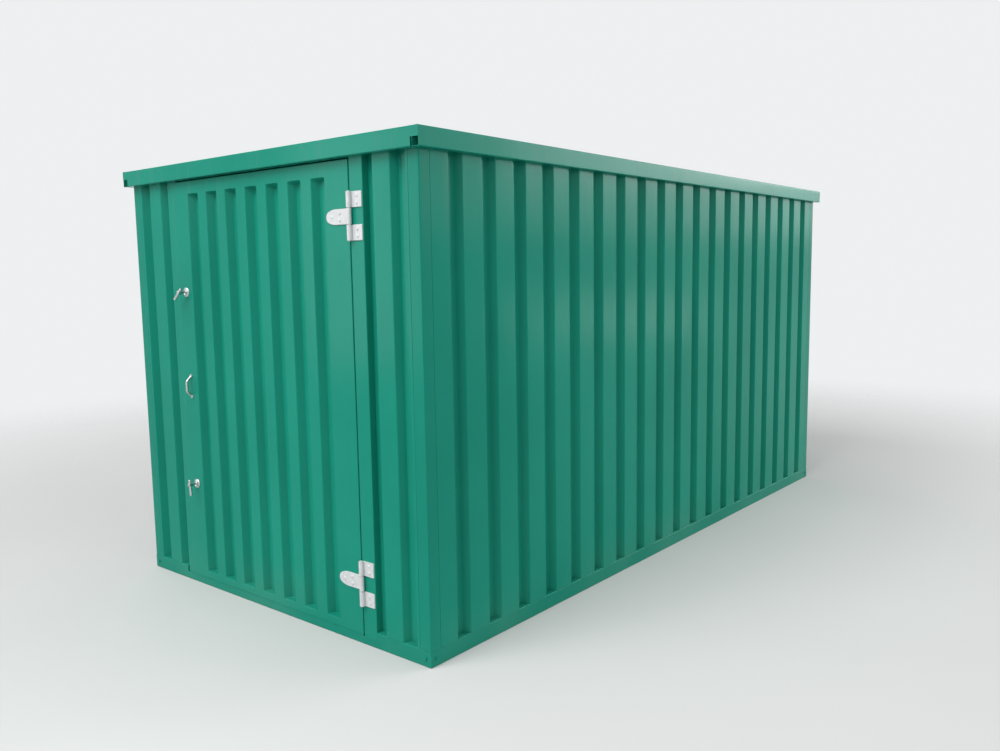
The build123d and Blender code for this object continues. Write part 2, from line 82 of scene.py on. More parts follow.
def folded_section(bends, thickness, inner_radius=2.5, arc_steps=4, spacing=60):
    """Both faces of a folded sheet's section, as two rows of points of the same length.

    A fold that turns by the angle a starts radius * tan(a / 2) before its corner and follows an arc
    about a centre that stands one radius off both runs. The radius is the inner one on the inside
    of the fold and the inner one plus the thickness on the outside. It is one number or one for
    each fold. The second face is the first one moved to its left by the thickness, along the
    section's own normals. Long runs get a point every spacing or so.
    """
    corner = np.array(bends, float)
    run = np.diff(corner, axis=0)
    length = np.hypot(run[:, 0], run[:, 1])
    heading = np.arctan2(run[:, 1], run[:, 0])
    turn = (np.diff(heading) + pi) % (2 * pi) - pi
    radius = np.sign(turn) * (inner_radius + thickness * (turn > 0))
    angle = heading[:-1, None] + turn[:, None] * np.linspace(0, 1, arc_steps + 1)
    normal = np.stack([-np.sin(angle), np.cos(angle)], -1)
    reach = np.abs(radius * np.tan(turn / 2))
    start = corner[1:-1] - run[:-1] / length[:-1, None] * reach[:, None]
    centre = start + radius[:, None] * normal[:, 0]
    arc = centre[:, None] - radius[:, None, None] * normal
    ends = np.stack([-np.sin(heading), np.cos(heading)], -1)
    face = np.concatenate([corner[:1], arc.reshape(-1, 2), corner[-1:]])
    normals = np.concatenate([ends[:1], normal.reshape(-1, 2), ends[-1:]])
    both = np.concatenate([face, face + thickness * normals], 1)
    step = np.hypot(*np.diff(both[:, :2] + both[:, 2:], axis=0).T) / 2
    walked = np.concatenate([[0], np.cumsum(step)])
    extra = np.arange(spacing / 2, walked[-1], spacing)
    clear = np.abs(extra[:, None] - walked).min(1) > spacing / 8
    knots = np.sort(np.concatenate([walked, extra[clear]]))
    both = np.stack([np.interp(knots, walked, column) for column in both.T], -1)
    return both[:, :2], both[:, 2:]


def seen_from_above(origin, along, waviness=0):
    """Place for a section in plan: first number along, second inwards, stations upwards.

    Along and inwards turn with the wall. A thin sheet is never quite flat: it stands proud by two
    slow waves multiplied together, one along the wall and one up it.
    """
    along = np.array(along, float)
    inward = np.array([-along[1], along[0]])

    def place(a, b, station):
        wave = np.sin(a / 61 + 1.7 * np.sin(station / 410)) * np.sin(station / 330 + a / 500)
        b = b + waviness * wave
        ground = np.array(origin, float) + a[..., None] * along + b[..., None] * inward
        return np.concatenate([ground, (station + 0 * a)[..., None]], -1) * MM

    return place


def seen_along_wall(origin, along, waviness=0):
    """Place for a section across a wall: first number inwards, second up, stations along it.

    A slow wave along the wall moves the sheet inwards by up to its waviness.
    """
    along = np.array(along, float)
    inward = np.array([-along[1], along[0]])

    def place(a, b, station):
        wave = waviness * (1 + np.sin(station / 370 + b / 90) * np.sin(station / 910)) / 2
        ground = (
            np.array(origin, float)
            + station[..., None] * along
            + (a + wave)[..., None] * inward
        )
        return np.concatenate([ground, (b + 0 * station)[..., None]], -1) * MM

    return place


def through_rings(rings):
    """A closed surface through rings of points, each counter-clockwise seen from the last one.

    Point (i, j) is point j of ring i. Each end is closed by a ladder of quads across its ring, with
    rungs between the points that are equally far from the ring's first and last.
    """
    count, around = rings.shape[:2]
    index = np.arange(count * around).reshape(count, around)
    following = np.roll(index, -1, 1)
    quads = np.stack([index[:-1], following[:-1], following[1:], index[1:]], -1)
    near = index[[0, -1], : around // 2]
    far = index[[0, -1], ::-1][:, : around // 2]
    ladder = np.stack([near[:, :-1], near[:, 1:], far[:, 1:], far[:, :-1]], -1)
    faces = np.concatenate([quads.reshape(-1, 4), ladder[0][:, ::-1], ladder[1]])
    return rings.reshape(-1, 3), faces


def swept_sheet(section, stations, place):
    """A sheet carried along a straight line: one ring round both faces at each station.

    Stations are one row of numbers, or a table with a number for each point of the ring, as at a
    mitred end.
    """
    face, back = section
    ring = np.concatenate([face, back[::-1]])
    stations = np.asarray(stations, float)
    if stations.ndim == 1:
        stations = stations[:, None] + np.zeros(len(ring))
    return through_rings(place(ring[:, 0] + 0 * stations, ring[:, 1] + 0 * stations, stations))


def surface_piece(name, surfaces, body, material, node=None, thickness=0):
    """One object from several surfaces, with its place in its mesh. It rides on its body.

    An open surface gets its sheet's thickness, in metres, behind it.
    """
    offset = np.cumsum([0] + [len(points) for points, faces in surfaces])
    points = np.concatenate([points for points, faces in surfaces])
    faces = [f for (_, quads), start in zip(surfaces, offset) for f in (quads + start).tolist()]
    mesh = bpy.data.meshes.new(name)
    mesh.from_pydata(points.tolist(), [], faces)
    mesh.shade_smooth()
    mesh.set_sharp_from_angle(angle=radians(40))
    mesh.materials.append(material)
    piece = bpy.data.objects.new(name, mesh)
    bpy.context.scene.collection.objects.link(piece)
    if thickness:
        wall = piece.modifiers.new("sheet", "SOLIDIFY")
        wall.thickness = thickness
        wall.use_even_offset = True
    shading = piece.modifiers.new("flat_runs_stay_flat", "WEIGHTED_NORMAL")
    shading.keep_sharp = True
    shading.weight = 100
    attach(piece, body)
    if node:
        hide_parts(node)
    return piece


class Shade:
    """The output of a node. Python's sums and products on it add Math nodes to its finish."""

    def __init__(self, finish, socket):
        self.finish = finish
        self.socket = socket

    def maths(self, operation, first, second):
        return self.finish.node("Math", {"operation": operation}, {0: first, 1: second})

    def __add__(self, other):
        return self.maths("ADD", self, other)

    def __mul__(self, other):
        return self.maths("MULTIPLY", self, other)

    __radd__ = __add__
    __rmul__ = __mul__

    def ramp(self, low, high):
        """0 below low, 1 above high, a smooth rise between. It falls if low is above high."""
        return self.finish.node(
            "MapRange",
            {"interpolation_type": "SMOOTHSTEP"},
            {0: self, 1: low, 2: high, 3: 0, 4: 1},
        )


class Finish:
    """A material built node by node around one Principled shader, in the object's own metres."""

    def __init__(self, name, **shader):
        self.material = bpy.data.materials.new(name)
        self.material.use_nodes = True
        self.tree = self.material.node_tree
        self.shader = self.tree.nodes["Principled BSDF"]
        for socket, value in shader.items():
            self.shader.inputs[socket.replace("_", " ")].default_value = value
        self.place = self.node("TexCoord", output="Object")

    def node(self, kind, settings=None, sockets=None, output=0):
        """Any node: its settings are set first, then its sockets get their values or links."""
        node = self.tree.nodes.new("ShaderNode" + kind)
        for name, value in (settings or {}).items():
            setattr(node, name, value)
        for key, value in (sockets or {}).items():
            if isinstance(value, Shade):
                self.tree.links.new(value.socket, node.inputs[key])
            else:
                node.inputs[key].default_value = value
        return Shade(self, node.outputs[output])

    def axis(self, letter):
        """One of the surface point's three coordinates."""
        return self.node("SeparateXYZ", {}, {0: self.place}, output=letter)

    def noise(self, scale, detail=2, stretch=(1, 1, 1)):
        """Cloudy noise between 0 and 1 with that many lumps to the metre, stretched by axis."""
        spread = self.node(
            "VectorMath", {"operation": "MULTIPLY"}, {0: self.place, 1: stretch}
        )
        return self.node("TexNoise", {}, {"Vector": spread, "Scale": scale, "Detail": detail})

    def mix(self, amount, first, second):
        """A colour between two colours."""
        return self.node(
            "Mix", {"data_type": "RGBA"}, {0: amount, 6: first, 7: second}, output=2
        )

    def feed(self, socket, shade):
        self.tree.links.new(shade.socket, self.shader.inputs[socket])

    def bump(self, *layers):
        """Bump from layers of (height, depth in metres), each laid over the one before."""
        normal = None
        for height, depth in layers:
            sockets = {"Height": height, "Distance": depth, "Strength": 1}
            if normal:
                sockets["Normal"] = normal
            normal = self.node("Bump", {}, sockets)
        self.feed("Normal", normal)


def powder_coat(name, colour, gloss_loss=0, shine=0.09):
    """Semi-gloss green coat: even, with orange peel and dust specks, a painted reflection of the
    floor that greys the lowest part in patches, and painted streaks of pale sheen near the top.
    """
    coat = Finish(name, Specular_IOR_Level=shine, IOR=1.45)
    height = coat.axis("Z")
    cloud = coat.noise(1.6, 3)
    streak = coat.noise(3.5, 4, (6, 6, 0.35))
    speck = coat.noise(55, 3)
    # Painted reflection: below 0.3 m the coat turns greyer and rougher in patches; the fine specks
    # everywhere are dust
    painted_floor_reflection_and_specks = height.ramp(0.3, 0.0) * cloud.ramp(0.35, 0.8) * 0.12 + speck.ramp(0.66, 0.8) * 0.04
    # Painted sheen: from 1.5 m up, vertical streaks turn pale grey and rougher
    painted_top_sheen = height.ramp(1.5, 2.1) * streak.ramp(0.52, 0.75) * 0.1
    lighter = tuple(1.18 * c + 0.006 for c in colour) + (1,)
    darker = tuple(0.86 * c for c in colour) + (1,)
    top_sheen_grey = (0.16, 0.27, 0.22, 1)
    floor_reflection_and_speck_grey = (0.23, 0.27, 0.2, 1)
    base = coat.mix(cloud, darker, lighter)
    coat.feed("Base Color", coat.mix(painted_floor_reflection_and_specks, coat.mix(painted_top_sheen, base, top_sheen_grey), floor_reflection_and_speck_grey))
    coat.feed("Roughness", cloud * 0.05 + 0.145 + gloss_loss + painted_floor_reflection_and_specks * 0.5 + painted_top_sheen * 0.4)
    coat.bump((coat.noise(7, 2, (1, 1, 0.4)), 0.0012), (coat.noise(420, 2), 0.00005))
    return coat.material


green = (0.006, 0.26, 0.182)
sheet_coat = powder_coat("green_sheet_coat", green)
frame_coat = powder_coat("green_frame_coat", tuple(0.94 * c for c in green), gloss_loss=0.03)

channel = folded_section(
    [(base_flange, base_height), (0, base_height), (0, 0), (base_flange, 0)], base_sheet
)
threshold = folded_section(
    [
        (base_flange, base_height),
        (stop_depth, base_height),
        (stop_depth, threshold_height),
        (0, threshold_height),
        (0, 0),
        (base_flange, 0),
    ],
    base_sheet,
    np.array([2.5, 1.5, 0.8, 2.5]),
)
# A plate inside closes each end of the full channel and stands a hair proud of its cut edge
plate_proud = 0.3
threshold_end = folded_section(
    [(base_sheet, base_height - base_sheet), (base_sheet, base_sheet)], stop_depth
)
for side, (origin, along, half_run) in walls.items():
    place = seen_along_wall(origin, along)
    inset = np.concatenate([channel[0][:, 0], channel[1][::-1, 0]])
    mitred = np.linspace(-1, 1, 9)[:, None] * (half_run - inset)
    if side == "front":
        # The low middle lies between two shorter runs of the full channel
        outer = np.stack([0 * inset + post_outer, half_run - inset])
        runs = [
            swept_sheet(channel, outer, place),
            swept_sheet(channel, -outer[::-1], place),
            swept_sheet(threshold, np.linspace(-post_outer, post_outer, 7), place),
        ]
        plate = np.array([post_outer - plate_proud, post_outer + base_sheet])
        for end in (-1, 1):
            runs.append(swept_sheet(threshold_end, np.sort(end * plate), place))
    else:
        runs = [swept_sheet(channel, mitred, place)]
    name = f"base_{side}_rail"
    surface_piece(f"{name}_channel", runs, "building", frame_coat, name)


# Floor. A sheet of brown phenolic-faced plywood lies on seven galvanised channels that stand on
# the base flanges. It shows only through the open door.

ply = Finish("plywood_face", Specular_IOR_Level=0.3)
grain = ply.noise(9, 5, (0.25, 6, 1))
mesh_print = ply.node("TexWave", {"wave_type": "RINGS"}, {"Vector": ply.place, "Scale": 90})
worn = ply.noise(2.2, 4).ramp(0.45, 0.8)
brown = ply.mix(grain, (0.14, 0.065, 0.032, 1), (0.27, 0.15, 0.08, 1))
ply.feed("Base Color", ply.mix(worn * 0.5, brown, (0.36, 0.25, 0.16, 1)))
ply.feed("Roughness", worn * 0.25 + 0.42)
ply.bump((grain, 0.0004), (mesh_print, 0.0002))

zinc = Finish("galvanised_channel", Metallic=1.0)
spangle = zinc.node("TexVoronoi", {}, {"Vector": zinc.place, "Scale": 70}, output="Color")
flake = zinc.node("RGBToBW", {}, {0: spangle})
zinc.feed("Base Color", zinc.mix(flake, (0.42, 0.44, 0.45, 1), (0.62, 0.64, 0.65, 1)))
zinc.feed("Roughness", flake * 0.2 + 0.36)
zinc.bump((zinc.noise(60, 3), 0.0001))


def finish_node(name, material):
    """A CAD node whose shape is right keeps its mesh and gets its finish."""
    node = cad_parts[name]
    node.data.materials.clear()
    node.data.materials.append(material)


finish_node("floor_panel", ply.material)
finish_node("floor_joists", zinc.material)


# Corner posts. Each is an angle folded from 2 mm steel with a stiffening lip on both legs, and it
# carries the ends of two walls.

post_leg = 60
post_lip = 30
post_sheet = 2
sharp_fold = 0.6
wall_top = 2105
wall_stations = np.linspace(base_height, wall_top, 22)
corner_angle = folded_section(
    [(post_lip, post_leg), (0, post_leg), (0, 0), (post_leg, 0), (post_leg, post_lip)],
    post_sheet,
    np.array([sharp_fold, 3, sharp_fold]),
)
corners = {
    "front_right": ((half_width, -half_length), (0, 1)),
    "rear_right": ((half_width, half_length), (-1, 0)),
    "rear_left": ((-half_width, half_length), (0, -1)),
    "front_left": ((-half_width, -half_length), (1, 0)),
}
for name, (origin, along) in corners.items():
    surface_piece(
        f"{name}_corner_angle",
        [swept_sheet(corner_angle, wall_stations, seen_from_above(origin, along))],
        "building",
        frame_coat,
        f"corner_post_{name}",
    )


# Corrugated walls. Roll-formed 1.5 mm sheets with a valley every 207 mm. Neighbouring panels meet
# in a valley, where their flanges turn inwards and are bolted together.

module = 207
valley_depth = 34
valley_bends = np.array([(-42, 0), (-22, valley_depth), (22, valley_depth), (42, 0)], float)
wall_sheet = 1.5
wall_fold = 4
wall_spacing = 24
# At a seam a panel ends in half a valley, with its flange turned inwards at the valley's middle
seam_flange = 24
flange_bends = np.array([(0, valley_depth + seam_flange), (0, valley_depth)], float)
# How many valleys a wall has, and which of them hold a seam, counted from the wall's middle
panelled = {"right": (19, (-5, 0, 5)), "left": (19, (-5, 0, 5)), "rear": (9, (0,))}


def panel_bends(half_run, valleys, first_seam, last_seam):
    """Folds of a panel: its own valleys, moved by a module each, between its two ends.

    An end is a seam in the valley of that number, or a lip at the corner post for None.
    """
    outermost = (valleys - 1) // 2
    first = -outermost if first_seam is None else first_seam + 1
    last = outermost if last_seam is None else last_seam - 1
    centres = np.arange(first, last + 1) * module
    inner = (centres[:, None, None] * (1, 0) + valley_bends).reshape(-1, 2)
    edge = half_run - post_leg
    if first_seam is None:
        start = np.array([(-edge, post_lip), (-edge, 0)], float)
    else:
        start = np.concatenate([flange_bends, valley_bends[2:]]) + (first_seam * module, 0)
    if last_seam is None:
        end = np.array([(edge, 0), (edge, post_lip)], float)
    else:
        end = np.concatenate([valley_bends[:2], flange_bends[::-1]]) + (last_seam * module, 0)
    return np.concatenate([start, inner, end])


for side, (valleys, seams) in panelled.items():
    origin, along, half_run = walls[side]
    place = seen_from_above(origin, along, waviness=0.35)
    ends = (None, *seams, None)
    for number, (first, last) in enumerate(zip(ends, ends[1:]), start=1):
        bends = panel_bends(half_run, valleys, first, last)
        radii = np.full(len(bends) - 2, float(wall_fold))
        # A lip beside a corner post is folded sharply, so that the joint is a fine line
        if first is None:
            radii[0] = sharp_fold
        if last is None:
            radii[-1] = sharp_fold
        section = folded_section(bends, wall_sheet, radii, spacing=wall_spacing)
        runs = [swept_sheet(section, wall_stations, place)]
        name = f"{side}_wall_panel_{number}"
        surface_piece(f"{name}_sheet", runs, "building", sheet_coat, name)


# Wall and base bolts. The flanges in each seam are bolted together, with a head on one side and a
# nut on the other. One bolt shows on each face of the base frame's corners.

bright = Finish("bright_zinc_fixing", Metallic=0.9)
bright_cloud = bright.noise(120, 3)
bright.feed("Base Color", bright.mix(bright_cloud, (0.5, 0.51, 0.5, 1), (0.68, 0.69, 0.67, 1)))
bright.feed("Roughness", bright_cloud * 0.2 + 0.25)
bright.bump((bright.noise(700, 2), 0.00004))


def turned_rings(profile, centre, axis, around=24, flats=0):
    """Rings of a turned piece: circles about an axis, one for each (distance along it, radius).

    With flats, each ring is a polygon round its circle: its radius is divided by the cosine of the
    angle from the middle of the nearest flat.
    """
    axis = np.array(axis, float)
    aslant = (0.3, 0.5, 0.81)
    side = np.cross(axis, aslant)
    side /= np.linalg.norm(side)
    angle = np.linspace(0, 2 * pi, around, endpoint=False)[:, None]
    circle = np.cos(angle) * side + np.sin(angle) * np.cross(axis, side)
    if flats:
        circle = circle / np.cos(angle % (2 * pi / flats) - pi / flats)
    along, radius = np.array(profile, float).T
    rings = np.array(centre, float) + along[:, None, None] * axis
    return (rings + radius[:, None, None] * circle) * MM


def hexagon_bolt(foot, axis):
    """A flat round washer with a hexagon head on it, as two turned pieces."""
    washer = [(-0.3, 8.5), (1.2, 8.5), (1.5, 8.1)]
    head = [(1.3, 6.5), (5.6, 6.5), (6.3, 5.9)]
    return [
        through_rings(turned_rings(washer, foot, axis)),
        through_rings(turned_rings(head, foot, axis, flats=6)),
    ]


seam_bolts = []
seam_bolt_depth = valley_depth + seam_flange / 2
seam_bolt_heights = (170, 620, 1080, 1540, 1990)
for side, (_, seams) in panelled.items():
    origin, along, _ = walls[side]
    along = np.array(along, float)
    inward = np.array([-along[1], along[0]])
    for seam in seams:
        for height in seam_bolt_heights:
            for face in (-1, 1):
                on_flange = origin + along * (seam * module + face * wall_sheet)
                foot = on_flange + inward * seam_bolt_depth
                seam_bolts += hexagon_bolt((*foot, height), (*(face * along), 0))
surface_piece("wall_seam_bolts", seam_bolts, "building", bright.material)

base_bolts = []
base_bolt_inset = 30
for origin, along, half_run in walls.values():
    along = np.array(along, float)
    outward = np.array([along[1], -along[0]])
    for end in (-1, 1):
        foot = origin + along * end * (half_run - base_bolt_inset)
        base_bolts += hexagon_bolt((*foot, base_height / 2), (*outward, 0))
surface_piece("base_corner_bolts", base_bolts, "building", frame_coat)


# Front wall. Beside each door post comes a channel, a ridge and one valley, in the same sheet as
# the long walls. The door posts and the header are folded from 2 mm steel, with a stop behind the
# leaf. The post on the lock side stands back so that the leaf can lap over it.

doorway = 652
channel_end, ridge_start = 770, 790
front_valley = 933
front_bends = np.array(
    [
        (post_outer - post_sheet, valley_depth),
        (channel_end, valley_depth),
        (ridge_start, 0),
        *(valley_bends + (front_valley, 0)),
        (half_width - post_leg, 0),
        (half_width - post_leg, post_lip),
    ]
)
front_radii = np.array([wall_fold] * 6 + [sharp_fold])
origin, along, _ = walls["front"]
on_panel = seen_from_above(origin, along, waviness=0.3)
for side, bends, radii in (
    ("right", front_bends, front_radii),
    ("left", front_bends[::-1] * (-1, 1), front_radii[::-1]),
):
    section = folded_section(bends, wall_sheet, radii, spacing=wall_spacing)
    runs = [swept_sheet(section, wall_stations, on_panel)]
    name = f"front_wall_panel_{side}"
    surface_piece(f"{name}_sheet", runs, "building", sheet_coat, name)

stop_width = 32
stop_inner = doorway - stop_width
lock_recess = 6.5
post_fold = 1
hinge_post = [
    (stop_inner, stop_depth),
    (doorway, stop_depth),
    (doorway, 0),
    (post_outer, 0),
    (post_outer, valley_depth),
]
lock_post = [
    (-post_outer, valley_depth),
    (-post_outer, lock_recess),
    (-doorway, lock_recess),
    (-doorway, stop_depth),
    (-stop_inner, stop_depth),
]
on_front = seen_from_above(origin, along)
# Each post's foot stands on the threshold, without the stop
for name, bends, foot in (
    ("door_post_hinge", hinge_post, hinge_post[1:]),
    ("door_post_lock", lock_post, lock_post[:-1]),
):
    runs = [
        swept_sheet(folded_section(part, post_sheet, post_fold), heights, on_front)
        for part, heights in ((bends, wall_stations), (foot, [threshold_height, base_height]))
    ]
    surface_piece(f"{name}_jamb", runs, "building", sheet_coat, name)

header_low = 2065
stop_low = 2042
header = [(0, wall_top), (0, header_low), (stop_depth, header_low), (stop_depth, stop_low)]
across_front = seen_along_wall(origin, along)
# The header's own stop fits between those of the posts
runs = [
    swept_sheet(folded_section(bends, post_sheet), span, across_front)
    for bends, span in (
        (header, np.linspace(-stop_inner, stop_inner, 9)),
        (header[:3], [stop_inner, doorway]),
        (header[:3], [-doorway, -stop_inner]),
    )
]
surface_piece("door_header_lintel", runs, "building", sheet_coat, "door_header")


# Eaves. Each side is one 1.5 mm sheet folded into a fascia, the floor and back of a gutter and a
# cap over the wall's top. The end sheets close the sides off and leave the gutters open through a
# notch in each lower corner.

eave_coat = powder_coat("green_eave_coat", green, gloss_loss=-0.02, shine=0.1)
top = 2143
overhang = 35.5
eave_sheet = 1.5
eave_lip = 20
fascia_bottom = 2065
wall_cap = 60
cap_lip = 38
eave = [
    (eave_lip - overhang, top),
    (-overhang, top),
    (-overhang, fascia_bottom),
    (0, fascia_bottom),
    (0, wall_top),
    (wall_cap, wall_top),
    (wall_cap, wall_top - cap_lip),
]
for side in ("left", "right"):
    origin, along, half_run = walls[side]
    place = seen_along_wall(origin, along, waviness=0.5)
    full = half_run - wall_cap
    tail = half_run + overhang - eave_sheet
    runs = [swept_sheet(folded_section(eave, eave_sheet), np.linspace(-full, full, 33), place)]
    # Past the end walls the cap has no lip
    for span in ([full, tail], [-tail, -full]):
        runs.append(swept_sheet(folded_section(eave[:-1], eave_sheet), span, place))
    name = f"eave_gutter_{side}"
    surface_piece(f"{name}_fold", runs, "building", eave_coat, name)

outlet_width = 43
outlet_top = (-overhang, wall_top - 4)
under_side_lip = (-overhang, top - 1)
for side in ("front", "rear"):
    origin, along, half_run = walls[side]
    place = seen_along_wall(origin, along, waviness=0.4)
    outer = half_run + overhang
    outlet = outer - outlet_width
    cap_end = half_run - wall_cap - eave_sheet
    runs = [
        swept_sheet(folded_section(eave, eave_sheet), np.linspace(-cap_end, cap_end, 17), place)
    ]
    # The cap ends at the side eaves, the gutter floor at the outlet and the lip at the side's lip
    for end in (-1, 1):
        for bends, near, far in (
            (eave[:4], cap_end, outlet),
            ([*eave[:2], outlet_top], outlet, outer - eave_lip),
            ([under_side_lip, outlet_top], outer - eave_lip, outer),
        ):
            span = np.sort([end * near, end * far])
            runs.append(swept_sheet(folded_section(bends, eave_sheet), span, place))
    name = f"roof_fascia_{side}"
    surface_piece(f"{name}_fold", runs, "building", eave_coat, name)


# Roof. Ribbed sheets run across the width, lapped on a rib where two meet, and drain into both
# gutters. Two galvanised channels inside carry them along the length.

roof_level = wall_top + eave_sheet
roof_sheet = 1.2
roof_fold = 3
roof_half_width = 1064
roof_clearance = 4
roof_end = half_length + overhang - eave_sheet - roof_clearance
rib_height = 25
rib_bends = np.array([(-40, 0), (-20, rib_height), (20, rib_height), (40, 0)], float)
outermost_rib = 9
lapped_ribs = (None, -5, 0, 5, None)


def across_roof(a, b, station):
    """Place for a section along the building: first number rearwards, second up."""
    return np.stack([station, a, b], -1) * MM


def roof_bends(first, last):
    """Folds of a roof sheet: its own ribs between the middles of the two ribs where it laps.

    None in place of a rib's number stands for the flat edge at an end of the roof.
    """
    low = -outermost_rib if first is None else first + 1
    high = outermost_rib if last is None else last - 1
    centres = np.arange(low, high + 1) * module
    inner = (centres[:, None, None] * (1, 0) + rib_bends).reshape(-1, 2)
    start, end = [(-roof_end, 0)], [(roof_end, 0)]
    if first is not None:
        start = np.array([(0, rib_height), *rib_bends[2:]]) + (first * module, 0)
    if last is not None:
        end = np.array([*rib_bends[:2], (0, rib_height)]) + (last * module, 0)
    return np.concatenate([start, inner, end]) + (0, roof_level)


for number, (first, last) in enumerate(zip(lapped_ribs, lapped_ribs[1:]), start=1):
    section = folded_section(roof_bends(first, last), roof_sheet, roof_fold)
    widths = np.linspace(-roof_half_width, roof_half_width, 9)
    runs = [swept_sheet(section, widths, across_roof)]
    name = f"roof_panel_{number}"
    surface_piece(f"{name}_sheet", runs, "building", eave_coat, name)
finish_node("roof_purlins", zinc.material)

purlin_line = 350
screw_level = roof_level + rib_height + roof_sheet
roof_screws = []
for rib in range(-outermost_rib, outermost_rib + 1, 2):
    for line in (-purlin_line, purlin_line):
        roof_screws += hexagon_bolt((line, rib * module, screw_level), (0, 0, 1))
surface_piece("roof_screws", roof_screws, "building", eave_coat)


# Door leaf. One 1.5 mm sheet pressed with seven blind flutes, its edges turned back all round, and
# a lip on the lock side that laps over the post. Four channels behind its rim keep it stiff.

leaf_left, leaf_right, leaf_low, leaf_high = -645, 646, 42, 2059
leaf_depth = 36
leaf_sheet = 1.5
edge_fold = 1
lock_lip = 27
flute_depth = 34
flute_low, flute_high = 78, 1997
low_end_slope, high_end_slope = 1.5, 10
flute_centres = np.linspace(-496, 452, 7)
flute_bends = np.array([(-44, 0), (-24, flute_depth), (24, flute_depth), (44, 0)], float)


def pressed_leaf():
    """The leaf's face, a surface of two parameters: one across its width and one up its height.

    Each parameter has a folded profile. The depth of a point is the flute profile across times the
    share of full depth that the profile up has reached, plus the depth of either turned edge, plus
    a slow wave of half a millimetre that dies out towards the turned edges. The low and high edges
    aren't turned over the lip, and they leave a notch at the two corners.
    """
    flutes = (flute_centres[:, None, None] * (1, 0) + flute_bends).reshape(-1, 2)
    across = folded_section(
        [(leaf_left - lock_lip, 0), *flutes, (leaf_right, 0), (leaf_right, leaf_depth)],
        leaf_sheet,
        np.array([4] * len(flutes) + [edge_fold]),
        spacing=22,
    )[0]
    # The lip begins at a point of its own
    across = np.insert(across, np.searchsorted(across[:9, 0], leaf_left), (leaf_left, 0), 0)
    up = folded_section(
        [
            (leaf_low, leaf_depth),
            (leaf_low, 0),
            (flute_low, 0),
            (flute_low + low_end_slope, flute_depth),
            (flute_high - high_end_slope, flute_depth),
            (flute_high, 0),
            (leaf_high, 0),
            (leaf_high, leaf_depth),
        ],
        leaf_sheet,
        np.array([edge_fold, 3, 3, 3, 2, edge_fold]),
        spacing=70,
    )[0]
    x, z = across[:, 0], up[:, 0][:, None]
    near_edge = 10
    side_turned = x > leaf_right - near_edge
    end_turned = (z < leaf_low + near_edge) | (z > leaf_high - near_edge)
    pressed = np.where(side_turned, 0, across[:, 1])
    share = np.where(end_turned, 0, up[:, 1:] / flute_depth)
    side_edge = np.where(side_turned, across[:, 1], 0)
    end_edge = np.where(end_turned, up[:, 1:], 0)
    wave = 0.5 * np.sin(x / 83 + z / 900) * np.sin(z / 260 + x / 400)
    calm_margin = 60
    for from_edge in (leaf_right - x, z - leaf_low, leaf_high - z):
        wave = wave * np.clip(from_edge / calm_margin, 0, 1)
    depth = pressed * share + side_edge + end_edge + wave
    points = np.stack([x + 0 * z, depth - half_length, z + 0 * x], -1)
    index = np.arange(points[..., 0].size).reshape(points.shape[:2])
    quads = np.stack([index[:-1, :-1], index[:-1, 1:], index[1:, 1:], index[1:, :-1]], -1)
    edge_row = (end_edge[:-1] > 0) | (end_edge[1:] > 0)
    edge_column = (side_edge[1:] > 0) | (x[1:] <= leaf_left)
    return points.reshape(-1, 3) * MM, quads[~(edge_row & edge_column)]


surface_piece(
    "door_leaf_pressing",
    [pressed_leaf()],
    "door",
    sheet_coat,
    "door_skin",
    thickness=leaf_sheet * MM,
)
# The turned edge on the lock side is an angle behind the sheet, because the lip goes on past it
angle_leg = 30
lock_edge = folded_section(
    [(leaf_left, leaf_depth), (leaf_left, leaf_sheet), (leaf_left + angle_leg, leaf_sheet)],
    leaf_sheet,
)
runs = [swept_sheet(lock_edge, [leaf_low, leaf_high], on_front)]
surface_piece("door_leaf_lock_edge", runs, "door", sheet_coat)
finish_node("door_frame", frame_coat)
# A narrow strip on the leaf's lower edge covers most of the gap above the threshold
strip_low, strip_high, strip_sheet = leaf_low - 5, leaf_low + 0.3, 1.2
bottom_strip = folded_section([(1, strip_low), (1, strip_high)], strip_sheet)
widths = np.linspace(leaf_left - lock_lip, leaf_right, 7)
runs = [swept_sheet(bottom_strip, widths, across_front)]
surface_piece("door_leaf_bottom_strip", runs, "door", sheet_coat)


# Hinges. Two heavy galvanised hinges: on the post a plate above and below, each rolled into a
# knuckle, and on the leaf a strap that tapers to a rounded tip. Cup-head bolts hold them.

hot_zinc = Finish("hot_dip_galvanised", Metallic=0.25, Specular_IOR_Level=0.35)
zinc_cloud = hot_zinc.noise(45, 4)
zinc_spangle = hot_zinc.node(
    "RGBToBW",
    {},
    {0: hot_zinc.node("TexVoronoi", {}, {"Vector": hot_zinc.place, "Scale": 160}, "Color")},
)
zinc_tone = hot_zinc.mix(zinc_cloud, (0.66, 0.67, 0.68, 1), (0.78, 0.79, 0.8, 1))
hot_zinc.feed("Base Color", hot_zinc.mix(zinc_spangle * 0.45, zinc_tone, (0.5, 0.51, 0.52, 1)))
hot_zinc.feed("Roughness", zinc_cloud * 0.2 + 0.45)
hot_zinc.bump((zinc_cloud, 0.0003), (hot_zinc.noise(260, 2), 0.00006))

hinge_x, hinge_out = 660, 12.5
knuckle_radius = 11
knuckle_length = 64
knuckle_step = 67
plate_thickness = 5
plate_end = 728
plate_bolt_step = 15
strap_bolts = ((592, -15), (592, 15), (543, 0))


def on_door_wall(x, z, out):
    """Place for things on the door wall: first number to the right, second up, third outwards."""
    return np.stack(np.broadcast_arrays(x, -half_length - out, z), -1) * MM


